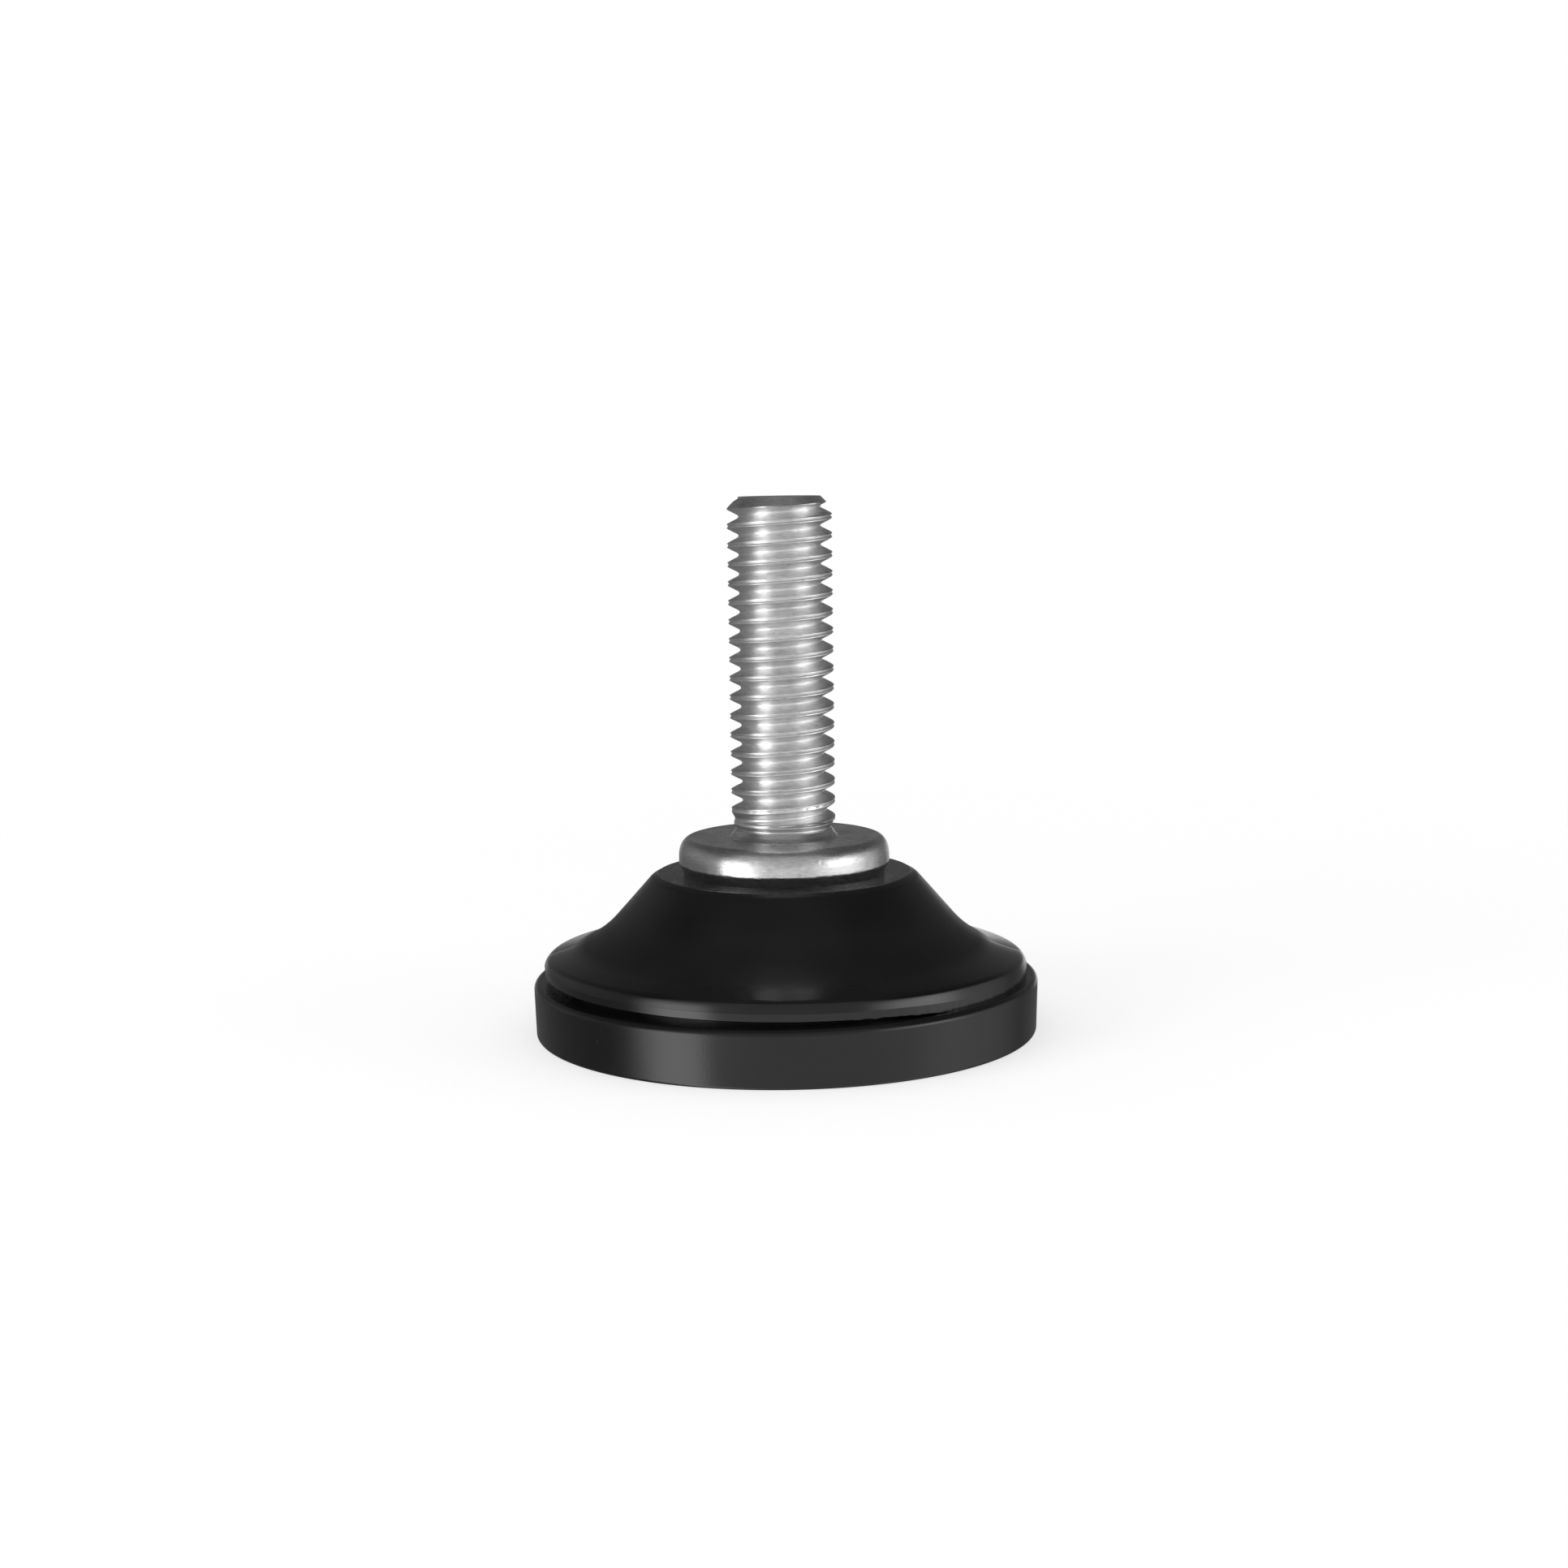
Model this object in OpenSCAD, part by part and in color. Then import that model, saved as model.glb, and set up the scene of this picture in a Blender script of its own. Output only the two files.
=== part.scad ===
// Table base glide: a levelling foot that screws up into the base of a table.
// Three pieces: a headed threaded stud, a moulded housing round its root, and a rubber pad.
// The pad's underside is at z = 0 and the stud's axis is the Z axis. Sizes are in mm.

/* [Pad] */
// Diameter of the rubber pad
pad_d = 38.1; // [36.8:0.1:44]
// Height of the pad's disc, up to the face that carries the housing
pad_h = 4.05; // [2.5:0.05:6]
// How much narrower the pad is at the floor, per side
pad_draft = 0.12; // [0:0.02:0.6]
// Rounding of the pad's upper and lower outer edges
pad_edge_r = 0.25; // [0.1:0.05:0.6]
// Diameter of the boss that plugs into the housing, at its foot
boss_d = 28; // [24:0.5:29]
// Height of the boss above the disc
boss_h = 1.95; // [1:0.05:2.2]
// How much wider the boss is at its top, per side, so that it locks in its socket
boss_flare = 0.35; // [0.1:0.05:0.5]
// Clearance round the boss, per side
boss_clearance = 0.05; // [0.02:0.01:0.1]

/* [Housing] */
// Diameter of the housing's rim
rim_d = 36.8; // [35.6:0.1:38]
// Height of the rim, up to its corner before rounding
rim_h = 0.95; // [0.9:0.05:1.8]
// Rounding of the rim's upper corner
rim_edge_r = 1.1; // [0.2:0.05:1.2]
// Height of the groove between the pad and the rim
groove_h = 0.5; // [0.2:0.01:0.8]
// How far the groove runs in under the rim
groove_depth = 2; // [0.8:0.1:2.4]
// Slope of the land that rises inwards from the rim, in degrees
land_angle = 20; // [15:1:24]
// Slope of the flank below the shelf, in degrees
flank_angle = 47.6; // [45:0.2:54]
// Radius of the cove where the land turns up into the flank
cove_r = 6; // [4:0.5:8]
// Diameter of the flat shelf on top, over its corner before rounding
shelf_d = 19.6; // [19.2:0.1:21]
// Height of the shelf above the floor
shelf_z = 12; // [11.4:0.1:13.5]
// Rounding of the shelf's edge
shelf_edge_r = 1.25; // [0.4:0.05:1.8]

/* [Stud head] */
// Largest diameter of the head, low on its side
head_d = 15.86; // [14.5:0.02:16.4]
// Diameter of the head's top, over its corner before rounding
head_top_d = 15.4; // [14:0.02:15.8]
// Height of the head above the shelf
head_h = 2.7; // [2.4:0.1:4]
// Height of the taper at the foot of the head
head_taper_h = 0.95; // [0.4:0.05:1]
// How much the taper narrows the head's foot, per side
head_taper_w = 0.36; // [0.1:0.02:0.5]
// Rounding of the head's upper edge
head_edge_r = 0.7; // [0.3:0.05:0.9]
// Rounding between the taper and the head's side
head_side_r = 1.2; // [0.4:0.1:1.6]

/* [Stud thread] */
// Diameter over the crests of the thread, 5/16 inch less its allowance
thread_d = 7.8; // [6.3:0.01:9.5]
// Rise of the thread in one turn, at 18 turns an inch
thread_pitch = 1.411; // [1.25:0.001:1.6]
// Depth of the thread from its crest to its root
thread_depth = 0.84; // [0.6:0.01:0.9]
// Angle between one flank of the thread and the stud's radius, in degrees
thread_flank = 30; // [25:1:32]
// Where round the stud the thread starts, in degrees
thread_start = 169; // [0:1:359]
// Height over which the thread grows out of the neck
runout_h = 0.75; // [0.3:0.05:1.4]
// Length of the stud above the head
stud_l = 25.4; // [16:0.1:32]
// Height of the plain neck between the head and the thread
neck_h = 0.6; // [0.55:0.05:1.5]
// Fillet between the neck and the top of the head
neck_fillet_r = 0.45; // [0.2:0.05:0.5]

/* [Stud root] */
// Diameter of the shank that is moulded into the housing
shank_d = 9; // [7.5:0.1:10]
// Height of the six-sided anchor at the foot of the root
anchor_h = 2.2; // [1.5:0.1:2.4]
// Width of the anchor across its flats
anchor_af = 12; // [11:0.5:14]
// Thickness of the housing's floor below the anchor
floor_t = 1.2; // [0.8:0.1:1.4]

/* [Hidden] */
$fn = 96;
arc_step = 6; // degrees of turn between the points of a rounded corner
turn_steps = 16; // rows of facets that one turn of the thread climbs in
neck_sink = 0.1; // how deep the thread's foot is sunk in the neck

pad_r = pad_d / 2;
boss_r = boss_d / 2;
seat_z = pad_h + boss_h; // where the boss's top meets the ceiling of its socket

rim_r = rim_d / 2;
rim_z = pad_h + groove_h;
ledge_r = rim_r - groove_depth; // edge of the face that rests on the pad
shelf_r = shelf_d / 2;

// The land and the flank are two straight slopes that meet where the cove rounds them.
rim_top_z = rim_z + rim_h;
cove_x = (shelf_z - rim_top_z + shelf_r * tan(flank_angle) - rim_r * tan(land_angle))
    / (tan(flank_angle) - tan(land_angle));
cove_z = rim_top_z + (rim_r - cove_x) * tan(land_angle);

head_r = head_d / 2;
head_z = shelf_z + head_h;
thread_r = thread_d / 2;
root_r = thread_r - thread_depth;
neck_r = thread_r - thread_depth / 2; // a rolled thread's blank is half a thread depth smaller
tip_z = head_z + stud_l;
neck_z = head_z + neck_h;

// One turn of the thread's profile, as corners of [share of the pitch, share of the depth].
crest_w = 1 / 8;
flank_w = thread_depth * tan(thread_flank) / thread_pitch;
ridge_corners = [
    [0, 1], [crest_w, 1], [crest_w + flank_w, 0], [1 - flank_w, 0], [1, 1]
];
ridge_steps = [2, 5, 4, 5]; // facets along the crest, a flank, the root and the other flank
ridge = [for (k = [0:3], i = [0:ridge_steps[k] - 1])
    ridge_corners[k] + (ridge_corners[k + 1] - ridge_corners[k]) * i / ridge_steps[k]];

shank_r = shank_d / 2;
anchor_z = seat_z + floor_t;
anchor_r = anchor_af / 2 / cos(30); // over the corners of the hexagon

// The unit vector from a to b.
function toward(a, b) = (b - a) / norm(b - a);

// One corner of an outline as an arc: p is the corner as [x, y, radius], a and b its neighbours.
// A corner with no radius stays a point.
function corner(a, p, b) =
    let (at = [p.x, p.y], u = toward(at, [a.x, a.y]), v = toward(at, [b.x, b.y]))
    p[2] == 0 ? [at] :
    let (
        half = acos(u * v) / 2,
        centre = at + (u + v) / norm(u + v) * p[2] / sin(half),
        start = at + u * p[2] / tan(half) - centre,
        side = sign(u.x * v.y - u.y * v.x),
        sweep = -side * (180 - 2 * half),
        steps = ceil(abs(sweep) / arc_step)
    )
    [for (i = [0:steps]) let (t = sweep * i / steps)
        centre + [start.x * cos(t) - start.y * sin(t), start.x * sin(t) + start.y * cos(t)]];

// An outline of [x, y, radius] corners, with each corner rounded by its own radius.
function rounded(corners) = let (n = len(corners)) [
    for (i = [0:n - 1])
        each corner(corners[(i + n - 1) % n], corners[i], corners[(i + 1) % n])
];

// The pad's boss, which is also the form of its socket when it is grown by a clearance.
module boss(clearance = 0) {
    foot_r = boss_r + clearance;
    rotate_extrude()
        polygon([
            [0, pad_h], [foot_r, pad_h], [foot_r + boss_flare, seat_z], [0, seat_z]
        ]);
}

// The root below the head: a round shank down to a six-sided anchor that can't turn or pull out.
module stud_root() {
    translate([0, 0, anchor_z]) cylinder(r = shank_r, h = shelf_z - anchor_z);
    translate([0, 0, anchor_z]) cylinder(r = anchor_r, h = anchor_h, $fn = 6);
}

// Radius of the thread at a share of its depth and a height: it grows out of the neck, and its
// end is bevelled down to the root.
function thread_radius(depth_share, z) =
    let (grown = max(0, min(1, (z - neck_z) / runout_h)))
    min(
        neck_r - neck_sink + (root_r + thread_depth * depth_share - neck_r + neck_sink) * grown,
        root_r + tip_z - z
    );

// The threaded length, right-handed: the ridge is swept up the axis, turning once a pitch.
module thread() {
    n = len(ridge);
    foot_z = neck_z - neck_sink;
    rows = ceil((tip_z - foot_z) / thread_pitch * turn_steps);
    points = [
        for (row = [0:rows], corner = ridge)
            let (
                z = foot_z + (tip_z - foot_z) * row / rows,
                r = thread_radius(corner[1], z),
                turn = thread_start + 360 * ((z - neck_z) / thread_pitch + corner[0] - crest_w / 2)
            )
            [r * cos(turn), r * sin(turn), z]
    ];
    sides = [
        for (row = [0:rows - 1], i = [0:n - 1])
            let (a = row * n + i, b = row * n + (i + 1) % n)
            each [[a, a + n, b], [b, a + n, b + n]]
    ];
    foot = [for (i = [0:n - 1]) i];
    tip = [for (i = [n - 1:-1:0]) rows * n + i];
    polyhedron(points, concat([foot], sides, [tip]));
}

// The head and the neck that the thread grows from.
module head() {
    rotate_extrude()
        polygon(rounded([
            [0, shelf_z, 0],
            [head_r - head_taper_w, shelf_z, 0],
            [head_r, shelf_z + head_taper_h, head_side_r],
            [head_top_d / 2, head_z, head_edge_r],
            [neck_r, head_z, neck_fillet_r],
            [neck_r, neck_z, 0],
            [0, neck_z, 0]
        ]));
}

module threaded_stud() {
    color([0.72, 0.72, 0.70])
    union() {
        head();
        thread();
        stud_root();
    }
}

// The bell: a rim, a land, a coved flank and a flat shelf, with the root and the socket cut out.
module housing() {
    color([0.09, 0.09, 0.09])
    difference() {
        rotate_extrude()
            polygon(rounded([
                [0, pad_h, 0],
                [ledge_r, pad_h, 0],
                [ledge_r, rim_z, 0],
                [rim_r, rim_z, 0],
                [rim_r, rim_top_z, rim_edge_r],
                [cove_x, cove_z, cove_r],
                [shelf_r, shelf_z, shelf_edge_r],
                [0, shelf_z, 0]
            ]));
        stud_root();
        boss(boss_clearance);
    }
}

module pad() {
    color([0.2, 0.2, 0.2])
    union() {
        rotate_extrude()
            polygon(rounded([
                [0, 0, 0],
                [pad_r - pad_draft, 0, pad_edge_r],
                [pad_r, pad_h, pad_edge_r],
                [0, pad_h, 0]
            ]));
        boss();
    }
}

threaded_stud();
housing();
pad();
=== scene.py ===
"""Table base glide: a plated threaded stud, a black moulded housing and a black rubber pad."""
from math import acos, ceil, cos, floor, pi, radians, sin, tan

import bmesh
import bpy
from mathutils import Matrix, Vector, noise


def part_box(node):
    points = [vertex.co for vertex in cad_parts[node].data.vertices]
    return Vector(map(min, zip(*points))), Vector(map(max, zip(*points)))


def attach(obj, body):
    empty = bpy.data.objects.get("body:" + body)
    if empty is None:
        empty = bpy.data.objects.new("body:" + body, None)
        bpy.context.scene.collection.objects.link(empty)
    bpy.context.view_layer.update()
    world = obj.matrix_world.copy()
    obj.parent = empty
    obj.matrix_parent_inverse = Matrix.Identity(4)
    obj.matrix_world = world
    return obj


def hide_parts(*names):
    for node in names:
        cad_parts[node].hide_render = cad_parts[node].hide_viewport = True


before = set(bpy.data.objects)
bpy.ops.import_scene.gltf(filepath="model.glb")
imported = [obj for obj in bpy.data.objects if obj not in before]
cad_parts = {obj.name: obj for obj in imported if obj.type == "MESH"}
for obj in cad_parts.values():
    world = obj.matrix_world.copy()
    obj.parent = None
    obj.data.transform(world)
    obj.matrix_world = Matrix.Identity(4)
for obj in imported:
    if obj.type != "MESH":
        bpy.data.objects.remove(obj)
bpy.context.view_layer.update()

MM = 0.001

# ---- sizes, in millimetres, from the frame and as in the part's source ----------------------


def mm_box(node):
    low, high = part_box(node)
    return [v / MM for v in low], [v / MM for v in high]


PAD_HIGH = mm_box("pad")[1]
HOUSING_LOW, HOUSING_HIGH = mm_box("housing")
STUD_LOW, STUD_HIGH = mm_box("threaded_stud")

PAD_R = PAD_HIGH[0]
PAD_H = HOUSING_LOW[2]
SEAT_Z = PAD_HIGH[2]
BOSS_R = 14.0
BOSS_FLARE = 0.35
BOSS_CLEARANCE = 0.05
PAD_FOOT_EDGE_R = 0.25
PAD_TOP_EDGE_R = 0.45
PAD_DRAFT = 0.12
# One side of the pad's top edge has been pressed up a little.
PAD_LIP = 0.20
PAD_LIP_SIDE = radians(-55)
PAD_LIP_W = 1.5

LEDGE_R = HOUSING_HIGH[0] - 2.0
RIM_R = HOUSING_HIGH[0] - 0.2
RIM_Z = PAD_H + 0.5
RIM_FOOT_EDGE_R = 0.1
RIM_SEAM_Z = RIM_Z + 0.66
RIM_TOP_Z = RIM_Z + 1.05
RIM_LEAN = 0.10
RIM_EDGE_R = 0.85
LAND_ANGLE = radians(18.7)
FLANK_ANGLE = radians(48.8)
COVE_R = 8.4
SHELF_Z = HOUSING_HIGH[2]
SHELF_R = 9.85
SHELF_EDGE_R = 1.2
SHELF_EDGE_OUT, SHELF_EDGE_DOWN = 0.16, 0.20
SHELF_LIP_R = 9.56
SHELF_LIP_W = 0.02
SHELF_LIP_H = 0.065
# The housing sits slightly askew. Its rim also sags on one side, with ragged flash along that stretch.
SKEW = 0.007
SKEW_FROM_R, SKEW_TO_R = 10.0, 15.0
RISE = 0.34  # of the rim's shoulder at the front
RISE_FROM_R, RISE_TO_R = 12.0, 17.0
SAG = 0.40
SAG_FROM, SAG_TO = radians(-68), radians(-42)
SAG_FADE_FROM, SAG_FADE_TO = 0.4, 1.2  # the angles, in radians, where the sag ends on its far side
FLASH = 0.10
FLASH_FROM, FLASH_TO = radians(-80), radians(-12)
FLASH_FADE = 0.15  # radians
FLASH_WAVE = 0.06
FLASH_COARSE, FLASH_FINE = 40, 110  # how closely its raggedness follows round the rim

HEAD_R = 7.93
HEAD_TOP_R = 7.05
HEAD_Z = SHELF_Z + 2.7
HEAD_SIDE_Z = SHELF_Z + 1.35
HEAD_TAPER_H = 0.80
HEAD_TAPER_W = 0.36
HEAD_SIDE_EDGE_R = 0.5
HEAD_BEAD = 0.04  # half the width of the faint raised edge round the flat top
HEAD_BEAD_H = 0.012
HEAD_WAVE = 0.010
RAGGED = 0.05  # of the lower edge of the head's side
RAGGED_H = 0.35  # half the height of the band that the raggedness covers

TIP_Z = STUD_HIGH[2]
ROOT_Z = STUD_LOW[2]
SHANK_R = 4.5
ANCHOR_H = 2.2
ANCHOR_FLAT_R = 6.0

PITCH = 25.4 / 18
CREST_R = 3.9
THREAD_ROOT_R = 3.06
CREST_Z = 17.46  # where a crest crosses the +X side
FLARE_R = 4.10
FLARE_MARGIN = 0.4  # width of the ring of faces where the head's finer mesh meets the stud's
FLARE_BEND_R, FLARE_BEND_H = 3.86, 0.27
FLARE_FILLET_R = 0.8
CREASE_R = 3.66
CREASE_Z = HEAD_Z + 0.58
CREASE_LIP_H = 0.06
NECK_R = 3.57
NECK_Z = CREASE_Z + 0.22
NECK_FILLET_R = 0.15
RUNOUT_R = 3.74
RUNOUT_Z = CREASE_Z + 0.50
RUNOUT_LIP_H = 0.05
RUNOUT_H = 0.25
FADE_Z, FADE_H = 15.70, 1.25  # where the groove starts, and the climb to its full depth

PAD_AROUND = 240
HOUSING_AROUND = 576
THREAD_AROUND = 144
HEAD_AROUND = 3 * THREAD_AROUND
HEAD_ARC_STEPS = 24
ARC_STEP = radians(4)
HOUSING_STEP = 0.9  # longest stretch of an outline between two rings
HEAD_STEP = 0.16


# ---- outlines ------------------------------------------------------------------------------


def rounded(corners):
    """An outline of (r, z, radius) corners, each rounded by its own radius. The ends stay as they are."""
    points = []
    for i, (x, z, radius) in enumerate(corners):
        here = Vector((x, z))
        if not radius:
            points.append(here)
            continue
        before = (Vector(corners[i - 1][:2]) - here).normalized()
        after = (Vector(corners[i + 1][:2]) - here).normalized()
        half = acos(max(-1.0, min(1.0, before.dot(after)))) / 2
        centre = here + (before + after).normalized() * radius / sin(half)
        start = here + before * radius / tan(half) - centre
        turn = pi - 2 * half
        side = -1 if before.cross(after) > 0 else 1
        steps = max(2, ceil(turn / ARC_STEP))
        for k in range(steps + 1):
            points.append(centre + Matrix.Rotation(side * turn * k / steps, 2) @ start)
    return [(p.x, p.y) for p in points]


def divided(points, longest):
    """The same outline with no stretch longer than a limit."""
    result = [points[0]]
    for (r0, z0), (r1, z1) in zip(points, points[1:]):
        n = max(1, ceil(Vector((r1 - r0, z1 - z0)).length / longest))
        result += [(r0 + (r1 - r0) * k / n, z0 + (z1 - z0) * k / n) for k in range(1, n + 1)]
    return result


def hexagon(flat_r):
    """Radius of a hexagon's edge at an angle, with its corners on the X axis."""
    def radius(angle):
        return flat_r / cos((angle % radians(60)) - radians(30))
    return radius


def smooth(t):
    t = max(0.0, min(1.0, t))
    return t * t * (3 - 2 * t)


# ---- mesh building --------------------------------------------------------------------------


MERGE = 2e-7  # metres
SLIVER = 1e-7


class Shell:
    """Rings of points round the Z axis, joined into one closed mesh."""

    def __init__(self, around):
        self.around = around
        self.bm = bmesh.new()
        self.last = None

    def ring(self, radius, z, wobble=None, around=None):
        """One ring; radius and z may be functions of the angle. It may have fewer points than the last."""
        around = around or self.around
        share = self.around // around
        self.around = around
        verts = []
        for column in range(around + 1):
            a = 2 * pi * column / around
            r = radius(a) if callable(radius) else radius
            h = z(a) if callable(z) else z
            if wobble:
                r, h = wobble(a, r, h)
            verts.append(self.bm.verts.new((r * cos(a) * MM, r * sin(a) * MM, h * MM)))
        if self.last:
            for i in range(around):
                edge = self.last[i * share:(i + 1) * share + 1]
                self.bm.faces.new([*edge, verts[i + 1], verts[i]])
        self.last = verts

    def outline(self, points, wobble=None):
        for r, z in points:
            self.ring(r, z, wobble)

    def finish(self, name, material, smooth_angle=32):
        bm = self.bm
        bmesh.ops.remove_doubles(bm, verts=bm.verts, dist=MERGE)
        bmesh.ops.dissolve_degenerate(bm, edges=bm.edges, dist=SLIVER)
        bmesh.ops.recalc_face_normals(bm, faces=bm.faces)
        mesh = bpy.data.meshes.new(name)
        bm.to_mesh(mesh)
        bm.free()
        mesh.materials.append(material)
        for polygon in mesh.polygons:
            polygon.use_smooth = True
        mesh.set_sharp_from_angle(angle=radians(smooth_angle))
        piece = bpy.data.objects.new(name, mesh)
        bpy.context.scene.collection.objects.link(piece)
        return piece


# ---- materials ----------------------------------------------------------------------------------

# Heights, in mm, between which a finish changes. On the shelf and on the thread the colour also gets
# lighter there: painted light.
COVE_FINISH = (6.4, 6.9)
FLANK_FINISH = (8.0, 10.0)
SHELF_FINISH_AND_PAINTED_LIGHT = (11.85, 12.0)
THREAD_FINISH_AND_PAINTED_LIGHT = (15.5, 15.8)
SPECK = 0.00006  # radius of a speck of dust, in metres
DUST = 0.05
DUST_PATCHES = (0.52, 0.56)  # values of a noise between which a patch of dust starts
NOISE_RANGE = (0.3, 0.7)


class Graph:
    """A node tree, with the two nodes that the finishes and the studio share."""

    def __init__(self, tree):
        self.nodes = tree.nodes
        self.links = tree.links

    def ramp(self, value, low, high, at_low, at_high):
        node = self.nodes.new("ShaderNodeMapRange")
        node.inputs["From Min"].default_value = low
        node.inputs["From Max"].default_value = high
        node.inputs["To Min"].default_value = at_low
        node.inputs["To Max"].default_value = at_high
        self.links.new(value, node.inputs["Value"])
        return node.outputs["Result"]

    def maths(self, operation, a, b):
        node = self.nodes.new("ShaderNodeMath")
        node.operation = operation
        for socket, value in zip(node.inputs, (a, b)):
            if isinstance(value, (int, float)):
                socket.default_value = value
            else:
                self.links.new(value, socket)
        return node.outputs[0]


class Finish(Graph):
    """A material's node tree, with the few nodes that these finishes are made of."""

    def __init__(self, name):
        self.material = bpy.data.materials.new(name)
        self.material.use_nodes = True
        super().__init__(self.material.node_tree)
        self.shader = self.nodes["Principled BSDF"]
        self.where = self.nodes.new("ShaderNodeTexCoord").outputs["Object"]

    def noise(self, scale, detail=4.0, stretch=(1, 1, 1)):
        mapping = self.nodes.new("ShaderNodeMapping")
        mapping.inputs["Scale"].default_value = stretch
        self.links.new(self.where, mapping.inputs["Vector"])
        texture = self.nodes.new("ShaderNodeTexNoise")
        texture.inputs["Scale"].default_value = scale
        texture.inputs["Detail"].default_value = detail
        self.links.new(mapping.outputs["Vector"], texture.inputs["Vector"])
        return texture.outputs["Fac"]

    def above(self, low, high, amount=1.0):
        """0 below one height, in mm, rising to an amount at the next."""
        axes = self.nodes.new("ShaderNodeSeparateXYZ")
        self.links.new(self.where, axes.inputs[0])
        return self.ramp(axes.outputs["Z"], low * MM, high * MM, 0, amount)

    def dusted(self, base, cells, patches):
        """A base value with specks of dust that lie in patches."""
        here = self.ramp(self.noise(patches, 2), *DUST_PATCHES, 0, 1)
        dust = self.maths("MULTIPLY", self.specks(cells, SPECK), here)
        return self.maths("ADD", base, self.maths("MULTIPLY", dust, DUST))

    def specks(self, scale, size):
        """1 on small round specks, one to a cell of 1 / scale metres, else 0."""
        cells = self.nodes.new("ShaderNodeTexVoronoi")
        cells.inputs["Scale"].default_value = scale
        self.links.new(self.where, cells.inputs["Vector"])
        return self.ramp(cells.outputs["Distance"], size * scale * 0.6, size * scale, 1, 0)

    def spread(self, noise_value, at_low, at_high):
        """A noise's usual range mapped to another."""
        return self.ramp(noise_value, *NOISE_RANGE, at_low, at_high)

    def colour(self, value):
        node = self.nodes.new("ShaderNodeCombineColor")
        for socket in ("Red", "Green", "Blue"):
            self.links.new(value, node.inputs[socket])
        self.links.new(node.outputs["Color"], self.shader.inputs["Base Color"])

    def roughness(self, value):
        self.links.new(value, self.shader.inputs["Roughness"])

    def bumps(self, *layers):
        """Layers of (height, distance in metres, strength), each on top of the one before."""
        before = None
        for height, distance, strength in layers:
            node = self.nodes.new("ShaderNodeBump")
            node.inputs["Distance"].default_value = distance
            node.inputs["Strength"].default_value = strength
            self.links.new(height, node.inputs["Height"])
            if before:
                self.links.new(before, node.inputs["Normal"])
            before = node.outputs["Normal"]
        self.links.new(before, self.shader.inputs["Normal"])


def plated_steel():
    finish = Finish("plated_steel")
    mottle = finish.noise(420, 6)
    stains = finish.ramp(finish.noise(1300, 7, (1, 1, 1.8)), 0.60, 0.76, 1.0, 0.74)
    streaks = finish.spread(finish.noise(1500, 6, (1, 1, 8)), 0.84, 1.14)
    # Above the neck the colour is painted lighter: painted light that makes the head look more shaded than
    # the thread. The roughness added there is the thread's own duller finish.
    base = finish.maths("ADD", finish.spread(mottle, 0.56, 0.68), finish.above(*THREAD_FINISH_AND_PAINTED_LIGHT, 0.13))
    finish.colour(finish.maths("MULTIPLY", finish.maths("MULTIPLY", base, stains), streaks))
    finish.shader.inputs["Metallic"].default_value = 1.0
    finish.roughness(finish.maths("ADD", finish.spread(mottle, 0.33, 0.25),
                                  finish.above(*THREAD_FINISH_AND_PAINTED_LIGHT, 0.08)))
    finish.bumps(
        (finish.noise(900, 4), 0.00004, 0.12),
        (finish.noise(2600, 3, (1, 1, 9)), 0.00002, 0.45),
        (finish.noise(7000, 3), 0.00001, 0.6),
    )
    return finish.material


def housing_plastic():
    finish = Finish("housing_plastic")
    mottle = finish.noise(260, 5)
    shelf = finish.above(*SHELF_FINISH_AND_PAINTED_LIGHT)
    # The shelf's colour is painted a little lighter: painted light for the light the flat shelf reflects.
    # Its grain and its gloss are its own.
    base = finish.maths("ADD", finish.spread(mottle, 0.0025, 0.0045),
                        finish.maths("MULTIPLY", shelf, 0.004))
    finish.colour(finish.dusted(base, 620, 500))
    # The rim is the glossiest part, the cove the dullest.
    rough = finish.maths("ADD", finish.spread(mottle, 0.18, 0.23), finish.above(*COVE_FINISH, 0.25))
    rough = finish.maths("SUBTRACT", rough, finish.above(*FLANK_FINISH, 0.12))
    finish.roughness(finish.maths("SUBTRACT", rough, finish.maths("MULTIPLY", shelf, 0.10)))
    finish.bumps(
        (finish.noise(300, 2), 0.00005, 0.05),
        (finish.noise(4500, 4), 0.00001, 0.25),
        (finish.maths("MULTIPLY", finish.noise(3000, 6), shelf), 0.0001, 0.9),
    )
    return finish.material


def pad_rubber():
    finish = Finish("pad_rubber")
    mottle = finish.noise(220, 5)
    finish.colour(finish.dusted(finish.spread(mottle, 0.0055, 0.0075), 520, 400))
    finish.shader.inputs["Specular IOR Level"].default_value = 0.42
    finish.roughness(finish.spread(mottle, 0.20, 0.26))
    finish.bumps(
        (finish.noise(350, 2), 0.00005, 0.05),
        (finish.noise(5000, 4), 0.00001, 0.4),
    )
    return finish.material


# ---- pieces -----------------------------------------------------------------------------------


def cove_corner():
    top_r = RIM_R - RIM_LEAN
    x = (SHELF_Z - RIM_TOP_Z + SHELF_R * tan(FLANK_ANGLE) - top_r * tan(LAND_ANGLE)) / (
        tan(FLANK_ANGLE) - tan(LAND_ANGLE))
    return x, RIM_TOP_Z + (top_r - x) * tan(LAND_ANGLE), COVE_R


def pad_lip(a, r, z):
    """Raises the pad's top edge on its pressed side."""
    if z < PAD_H / 2 or r < LEDGE_R:
        return r, z
    side = max(0.0, cos(a - PAD_LIP_SIDE))
    return r, z + PAD_LIP * side * smooth((z / PAD_H - 0.5) / 0.5) * smooth((r - LEDGE_R) / PAD_LIP_W)


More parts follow.
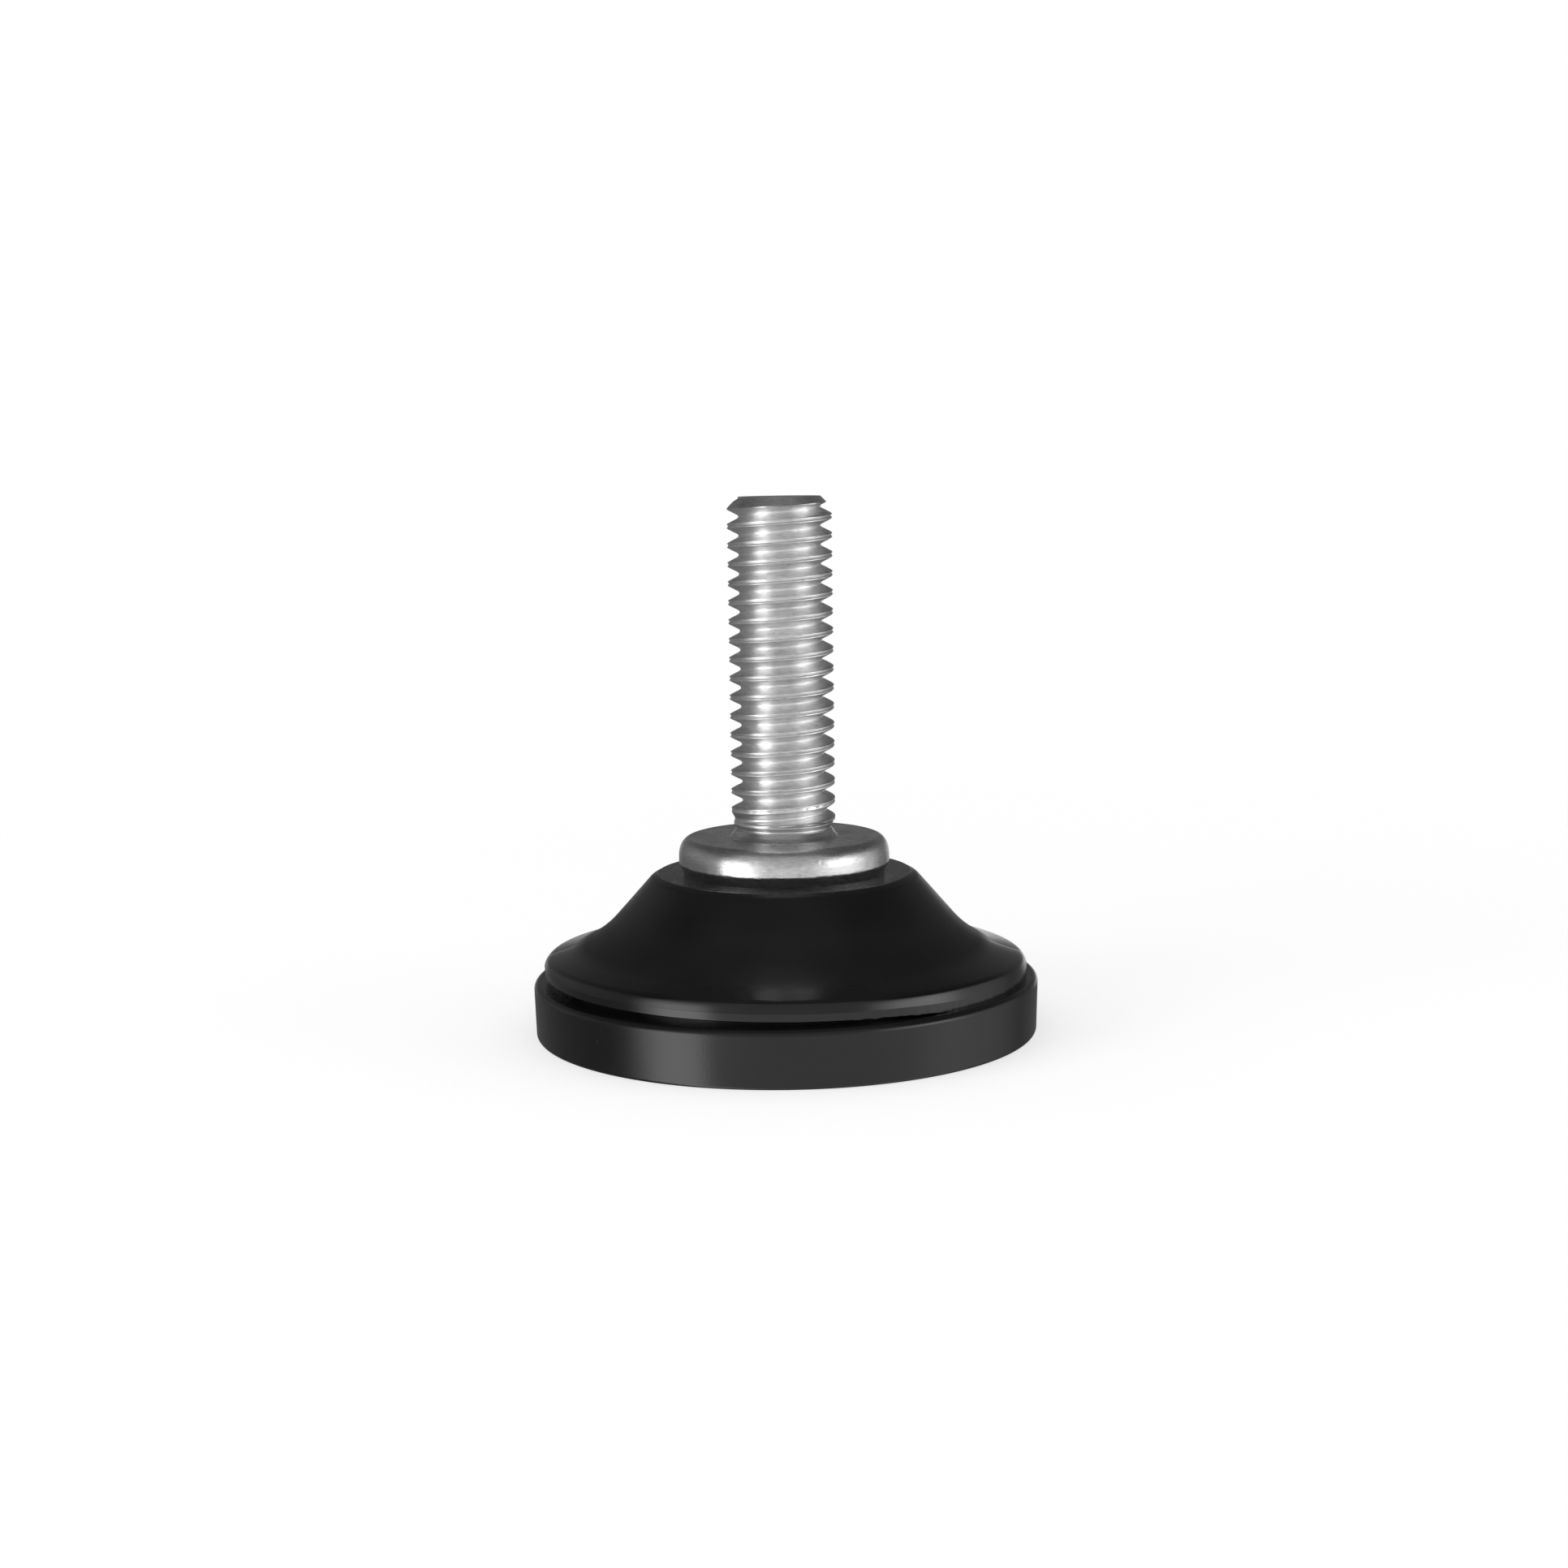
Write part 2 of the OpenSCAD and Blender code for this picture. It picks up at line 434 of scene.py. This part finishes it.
def make_pad(material):
    shell = Shell(PAD_AROUND)
    shell.outline(rounded([
        (0, 0, 0),
        (PAD_R - PAD_DRAFT, 0, PAD_FOOT_EDGE_R),
        (PAD_R, PAD_H, PAD_TOP_EDGE_R),
        (BOSS_R, PAD_H, 0),
        (BOSS_R + BOSS_FLARE, SEAT_Z, 0),
        (0, SEAT_Z, 0),
    ]), pad_lip)
    return shell.finish("rubber_pad", material)


def rim_edge(a, r, z):
    """Moves the points of the rim by the skew, the rise, the sag and the flash."""
    if r < LEDGE_R + 0.01 and z < RIM_TOP_Z:
        return r, z
    turn = (a + pi) % (2 * pi) - pi
    lift = -SKEW * r * cos(a) * smooth((r - SKEW_FROM_R) / (SKEW_TO_R - SKEW_FROM_R))
    front = max(0.0, -sin(a)) ** 0.7
    shoulder = max(0.0, min(1.0, (z - RIM_SEAM_Z) / (RIM_TOP_Z - 0.1 - RIM_SEAM_Z)))
    lift += RISE * front * shoulder * smooth((r - RISE_FROM_R) / (RISE_TO_R - RISE_FROM_R))
    share = smooth((RIM_TOP_Z - z) / (RIM_TOP_Z - RIM_Z))
    sagging = smooth((turn - SAG_FROM) / (SAG_TO - SAG_FROM))
    sagging *= smooth((SAG_FADE_TO - turn) / (SAG_FADE_TO - SAG_FADE_FROM))
    lift -= share * SAG * sagging
    ragged = smooth((turn - FLASH_FROM) / FLASH_FADE) * smooth((FLASH_TO - turn) / FLASH_FADE)
    if ragged and share > 0.9 and r > RIM_R - 0.15:
        coarse = noise.noise(Vector((cos(a) * FLASH_COARSE, sin(a) * FLASH_COARSE, 3)))
        fine = noise.noise(Vector((cos(a) * FLASH_FINE, sin(a) * FLASH_FINE, 7)))
        lift -= ragged * FLASH * max(0.0, 0.9 * coarse + 0.5 * fine + 0.1)
        r -= ragged * FLASH_WAVE * fine
    return r, z + lift


def make_housing(material):
    shell = Shell(HOUSING_AROUND)
    socket_r = BOSS_R + BOSS_CLEARANCE
    shell.outline(divided(rounded([
        (0, SEAT_Z, 0),
        (socket_r + BOSS_FLARE, SEAT_Z, 0),
        (socket_r, PAD_H, 0),
        (LEDGE_R, PAD_H, 0),
        (LEDGE_R, RIM_Z, 0),
        (RIM_R, RIM_Z, RIM_FOOT_EDGE_R),
        (RIM_R, RIM_SEAM_Z, 0),
        (RIM_R - RIM_LEAN, RIM_TOP_Z, RIM_EDGE_R),
        cove_corner(),
        (SHELF_R + SHELF_EDGE_OUT, SHELF_Z - SHELF_EDGE_DOWN, SHELF_EDGE_R),
        (SHELF_LIP_R + SHELF_LIP_W, SHELF_Z - SHELF_LIP_H, 0),
        (SHELF_LIP_R, SHELF_Z, SHELF_LIP_W),
        (SHANK_R, SHELF_Z, 0),
    ]), HOUSING_STEP), rim_edge)
    anchor = hexagon(ANCHOR_FLAT_R)
    shell.ring(SHANK_R, ROOT_Z + ANCHOR_H)
    shell.ring(anchor, ROOT_Z + ANCHOR_H)
    shell.ring(anchor, ROOT_Z)
    shell.ring(0, ROOT_Z)
    return shell.finish("moulded_housing", material)


# The thread's profile over one pitch from crest to crest: (share of the pitch, share of the depth).
# Rolling leaves a shallow seam along the crest.
THREAD_PROFILE = [
    (0.000, 0.90), (0.045, 0.93), (0.080, 1.00), (0.112, 1.00), (0.138, 0.95), (0.190, 0.79),
    (0.250, 0.60), (0.310, 0.40), (0.365, 0.21), (0.410, 0.08), (0.450, 0.01), (0.500, 0.00),
]


def thread_height(share):
    """Share of the thread's depth at a share of the pitch counted from a crest."""
    share = abs((share + 0.5) % 1.0 - 0.5)
    for (s0, h0), (s1, h1) in zip(THREAD_PROFILE, THREAD_PROFILE[1:]):
        if share <= s1:
            return h0 + (h1 - h0) * (share - s0) / (s1 - s0)
    return 0.0


def thread_radius(angle, z):
    """Radius of the thread, whose groove gets shallower over its last turn down to the neck."""
    share = (z - CREST_Z) / PITCH - angle / (2 * pi)
    root_z = CREST_Z + (floor(share) + 0.5 + angle / (2 * pi)) * PITCH
    depth = max(0.0, min(1.0, (root_z - FADE_Z) / FADE_H))
    full = CREST_R - (CREST_R - THREAD_ROOT_R) * (1 - thread_height(share)) * depth
    grown = smooth((z - RUNOUT_Z) / RUNOUT_H)
    r = RUNOUT_R + (full - RUNOUT_R) * grown
    return min(r, THREAD_ROOT_R + TIP_Z - z)


# Small pits in the side of the head: (angle in degrees, height over the shelf, radius, depth).
HEAD_PITS = [(-97, 1.55, 0.34, 0.030), (-88, 1.75, 0.26, 0.026), (-79, 1.45, 0.40, 0.034),
             (-70, 1.80, 0.22, 0.020), (-106, 1.90, 0.20, 0.016)]


def head_wear(a, r, z):
    """Pits and a slight waviness in the side of the head."""
    if z < SHELF_Z + 0.3 or r < HEAD_TOP_R + 0.05:
        return r, z
    here = Vector((r * cos(a), r * sin(a), z))
    r += HEAD_WAVE * noise.noise(here * 0.9)
    low = smooth(1 - abs(z - SHELF_Z - HEAD_TAPER_H) / RAGGED_H)
    z += low * RAGGED * (noise.noise(here * 2.0) + 0.8 * noise.noise(here * 5.0))
    for degrees, up, size, depth in HEAD_PITS:
        turn = (a - radians(degrees) + pi) % (2 * pi) - pi
        away = Vector((turn * r, z - SHELF_Z - up)).length / size
        r -= depth * (1 - smooth(away))
    return r, z


def make_stud(material):
    shell = Shell(HEAD_AROUND)
    anchor = hexagon(ANCHOR_FLAT_R)
    shell.ring(0, ROOT_Z)
    shell.ring(anchor, ROOT_Z)
    shell.ring(anchor, ROOT_Z + ANCHOR_H)
    shell.ring(SHANK_R, ROOT_Z + ANCHOR_H)
    head = rounded([
        (SHANK_R, SHELF_Z, 0),
        (HEAD_R - HEAD_TAPER_W, SHELF_Z, 0),
        (HEAD_R, SHELF_Z + HEAD_TAPER_H, HEAD_SIDE_EDGE_R),
        (HEAD_R, HEAD_SIDE_Z, 0),
    ])
    # The shoulder is a quarter of an ellipse, up to the raised edge round the flat top.
    for step in range(1, HEAD_ARC_STEPS):
        t = pi / 2 * step / HEAD_ARC_STEPS
        r = HEAD_TOP_R + (HEAD_R - HEAD_TOP_R) * cos(t)
        head.append((r, HEAD_SIDE_Z + (HEAD_Z - HEAD_SIDE_Z) * sin(t)))
    head += [
        (HEAD_TOP_R + HEAD_BEAD, HEAD_Z + HEAD_BEAD_H),
        (HEAD_TOP_R - HEAD_BEAD, HEAD_Z + HEAD_BEAD_H),
        (HEAD_TOP_R - 3 * HEAD_BEAD, HEAD_Z),
        (FLARE_R + FLARE_MARGIN, HEAD_Z),
    ]
    shell.outline(divided(head, HEAD_STEP), head_wear)
    shell.ring(FLARE_R, HEAD_Z, around=THREAD_AROUND)
    shell.outline(rounded([
        (FLARE_R, HEAD_Z, 0),
        (FLARE_BEND_R, HEAD_Z + FLARE_BEND_H, FLARE_FILLET_R),
        (CREASE_R, CREASE_Z, CREASE_LIP_H / 2),
        (NECK_R, CREASE_Z + CREASE_LIP_H, 0.05),
        (NECK_R, NECK_Z, NECK_FILLET_R),
        (RUNOUT_R, RUNOUT_Z - RUNOUT_LIP_H, 0.04),
        (RUNOUT_R, RUNOUT_Z, 0),
    ]))
    # Rows that climb with the thread, held between the neck and the tip.
    shares = sorted({s for s, _ in THREAD_PROFILE} | {1 - s for s, _ in THREAD_PROFILE[1:]})[:-1]
    first = int((RUNOUT_Z - CREST_Z) / PITCH) - 2
    last = int((TIP_Z - CREST_Z) / PITCH) + 1
    for turn in range(first, last + 1):
        for share in shares:
            base = CREST_Z + (turn + share) * PITCH

            def climb(a, base=base):
                return min(TIP_Z, max(RUNOUT_Z, base + PITCH * a / (2 * pi)))

            def radius(a, climb=climb):
                z = climb(a)
                return RUNOUT_R if z <= RUNOUT_Z else thread_radius(a, z)

            shell.ring(radius, climb)
    shell.ring(0, TIP_Z)
    return shell.finish("plated_stud", material, 40)


# ---- studio -------------------------------------------------------------------------------------

IMAGE = 1932
FOCAL_PX = 2942.0
CAMERA_BACK = 177.86
CAMERA_UP = 42.79
PITCH_DOWN = radians(7.743)
ROLL = radians(0.82)
YAW = radians(0.0215)


def make_camera():
    data = bpy.data.cameras.new("camera")
    data.sensor_fit = "HORIZONTAL"
    data.sensor_width = 36.0
    data.lens = FOCAL_PX / IMAGE * data.sensor_width
    data.clip_start = 0.01
    camera = bpy.data.objects.new("camera", data)
    ahead = Vector((sin(YAW) * cos(PITCH_DOWN), cos(YAW) * cos(PITCH_DOWN), -sin(PITCH_DOWN)))
    right = Vector((cos(YAW), -sin(YAW), 0))
    up = right.cross(ahead)
    x = right * cos(ROLL) - up * sin(ROLL)
    y = right * sin(ROLL) + up * cos(ROLL)
    turn = Matrix((x, y, -ahead)).transposed().to_4x4()
    camera.matrix_world = Matrix.Translation((0, -CAMERA_BACK * MM, CAMERA_UP * MM)) @ turn
    bpy.context.scene.collection.objects.link(camera)
    bpy.context.scene.camera = camera


LAMP_AIM_UP = 12 * MM


def softbox(name, azimuth, elevation, distance, width, height, radiance):
    """A softbox aimed at the object; azimuth 0 is the camera's side and grows to the right."""
    data = bpy.data.lights.new(name, "AREA")
    data.shape = "RECTANGLE"
    data.size, data.size_y = width, height
    data.energy = radiance * pi * width * height
    lamp = bpy.data.objects.new(name, data)
    a, e = radians(azimuth), radians(elevation)
    aim = Vector((0, 0, LAMP_AIM_UP))
    place = aim + distance * Vector((sin(a) * cos(e), -cos(a) * cos(e), sin(e)))
    lamp.location = place
    lamp.rotation_euler = (aim - place).to_track_quat("-Z", "Y").to_euler()
    bpy.context.scene.collection.objects.link(lamp)
    return lamp


# What the object mirrors, as radiance by azimuth and elevation in degrees: azimuth 0 is the camera's side
# and grows to the right. A white table lies before the object, with a greyer wall beyond it and a softbox
# at each side. The right one has a brighter spot. There are a dim wall on the left, a white strip low
# behind the object, and a dim room above it all.
FRONT = 0.78
FRONT_AZIMUTHS = (-75, -60, 45, 62)
FRONT_TOP = (50, 64)
TABLE_END = (-6, 4)  # elevations between which the table gives way to the wall
WALL_SHARE = 0.56
KEY = 2.55
KEY_AZIMUTHS = (-76, -57, -40, -34)
KEY_TOP = (12, 24)
FILL = 1.05
FILL_AZIMUTHS = (45, 66, 80, 130)
FILL_TOP = (16, 30)
SPOT = 2.0
SPOT_AZIMUTHS = (36, 52, 74, 90)
SPOT_ELEVATIONS = (-8, 2, 14, 24)
SIDE = 0.14
SIDE_AZIMUTHS = (-150, -120, -90, -74)
SIDE_ELEVATIONS = (-6, 4, 25, 40)
BACK = 1.0
BACK_ELEVATIONS = (-11, -8, -1, 3)
BACK_FROM = (0.86, 0.95)  # parts of a unit direction along Y, away from the camera
BACK_LEFT_SHARE = 0.3
BACK_MIDDLE = (-0.2, 0.2)  # parts of a unit direction along X, from the left's share to the full strip
WALL = 0.15
ROOM = 0.08
ROOM_FROM = (10, 35)
CEILING = 0.10
CEILING_FROM = (55, 75)
AMBIENT = 0.55


def make_world():
    world = bpy.data.worlds.new("studio")
    bpy.context.scene.world = world
    world.use_nodes = True
    graph = Graph(world.node_tree)
    nodes, links, ramp, maths = graph.nodes, graph.links, graph.ramp, graph.maths
    nodes.clear()
    axes = nodes.new("ShaderNodeSeparateXYZ")
    links.new(nodes.new("ShaderNodeTexCoord").outputs["Generated"], axes.inputs[0])
    path = nodes.new("ShaderNodeLightPath").outputs

    azimuth = maths("ARCTAN2", axes.outputs["X"], maths("MULTIPLY", axes.outputs["Y"], -1))
    height = axes.outputs["Z"]

    def between(value, angles, convert):
        """1 between the two middle angles, falling to 0 at the outer ones."""
        low, full, full_to, high = (convert(radians(angle)) for angle in angles)
        return maths("MULTIPLY", ramp(value, low, full, 0, 1), ramp(value, full_to, high, 1, 0))

    def by_height(low, high, at_low, at_high):
        """A ramp between two elevations."""
        return ramp(height, sin(radians(low)), sin(radians(high)), at_low, at_high)

    def below(full_to, high):
        return by_height(full_to, high, 1, 0)

    def times(*factors):
        product = factors[0]
        for factor in factors[1:]:
            product = maths("MULTIPLY", product, factor)
        return product

    front = times(between(azimuth, FRONT_AZIMUTHS, float), by_height(*TABLE_END, 1, WALL_SHARE),
                  below(*FRONT_TOP), FRONT)
    key = times(between(azimuth, KEY_AZIMUTHS, float), below(*KEY_TOP), KEY)
    fill = times(between(azimuth, FILL_AZIMUTHS, float), below(*FILL_TOP), FILL)
    spot = times(between(azimuth, SPOT_AZIMUTHS, float), between(height, SPOT_ELEVATIONS, sin), SPOT)
    side = times(between(azimuth, SIDE_AZIMUTHS, float), between(height, SIDE_ELEVATIONS, sin), SIDE)
    behind = ramp(axes.outputs["Y"], *BACK_FROM, 0, 1)
    to_the_right = ramp(axes.outputs["X"], *BACK_MIDDLE, BACK_LEFT_SHARE, 1)
    back = times(behind, between(height, BACK_ELEVATIONS, sin), to_the_right, BACK)
    room = maths("ADD", by_height(*ROOM_FROM, WALL, ROOM), by_height(*CEILING_FROM, 0, CEILING))
    level = room
    for part in (front, key, fill, spot, side, back):
        level = maths("ADD", level, part)
    mirrored = maths("MAXIMUM", path["Is Glossy Ray"], path["Is Transmission Ray"])
    unseen = maths("ADD", AMBIENT, maths("MULTIPLY", mirrored, maths("SUBTRACT", level, AMBIENT)))
    strength = maths("MAXIMUM", unseen, path["Is Camera Ray"])
    background = nodes.new("ShaderNodeBackground")
    background.inputs["Color"].default_value = (1, 1, 1, 1)
    links.new(strength, background.inputs["Strength"])
    out = nodes.new("ShaderNodeOutputWorld")
    links.new(background.outputs[0], out.inputs["Surface"])


FLOOR_HALF = 0.5
FLOOR_COLOUR = 0.6
FLOOR_GLOW = 0.60
FADE_FROM = 0.06
FADE_TO = 0.16


def make_floor():
    """A white floor that keeps the shadow and ends in the studio's white, with no line where it stops."""
    finish = Finish("studio_floor")
    nodes, links = finish.nodes, finish.links
    nodes.remove(finish.shader)
    path = nodes.new("ShaderNodeLightPath").outputs
    diffuse = nodes.new("ShaderNodeBsdfDiffuse")
    diffuse.inputs["Color"].default_value = (FLOOR_COLOUR,) * 3 + (1,)
    glow = nodes.new("ShaderNodeEmission")
    links.new(finish.maths("MULTIPLY", path["Is Camera Ray"], FLOOR_GLOW), glow.inputs["Strength"])
    both = nodes.new("ShaderNodeAddShader")
    links.new(diffuse.outputs[0], both.inputs[0])
    links.new(glow.outputs[0], both.inputs[1])
    distance = nodes.new("ShaderNodeVectorMath")
    distance.operation = "LENGTH"
    links.new(finish.where, distance.inputs[0])
    gone = finish.maths("MAXIMUM", finish.ramp(distance.outputs["Value"], FADE_FROM, FADE_TO, 0, 1),
                        finish.maths("MAXIMUM", path["Is Glossy Ray"], path["Is Transmission Ray"]))
    fade = nodes.new("ShaderNodeMixShader")
    links.new(gone, fade.inputs[0])
    links.new(both.outputs[0], fade.inputs[1])
    links.new(nodes.new("ShaderNodeBsdfTransparent").outputs[0], fade.inputs[2])
    links.new(fade.outputs[0], nodes["Material Output"].inputs["Surface"])
    mesh = bpy.data.meshes.new("floor")
    half = FLOOR_HALF
    mesh.from_pydata([(-half, -half, 0), (half, -half, 0), (half, half, 0), (-half, half, 0)],
                     [], [(0, 1, 2, 3)])
    mesh.materials.append(finish.material)
    ground = bpy.data.objects.new("floor", mesh)
    bpy.context.scene.collection.objects.link(ground)


# ---- the scene ------------------------------------------------------------------------------------

make_camera()
make_world()
make_floor()
# The key and fill light the floor and cast its shadow. Their mirrored images are part of the world.
for lamp in (
    softbox("key", azimuth=-55, elevation=4, distance=0.55, width=0.35, height=0.50, radiance=3.6),
    softbox("fill", azimuth=76, elevation=4, distance=0.60, width=0.50, height=0.50, radiance=1.4),
):
    lamp.visible_glossy = False

stud = make_stud(plated_steel())
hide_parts("threaded_stud")
housing = make_housing(housing_plastic())
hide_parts("housing")
pad = make_pad(pad_rubber())
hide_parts("pad")
for piece in (stud, housing, pad):
    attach(piece, "root")

bpy.context.scene.view_settings.view_transform = "Standard"
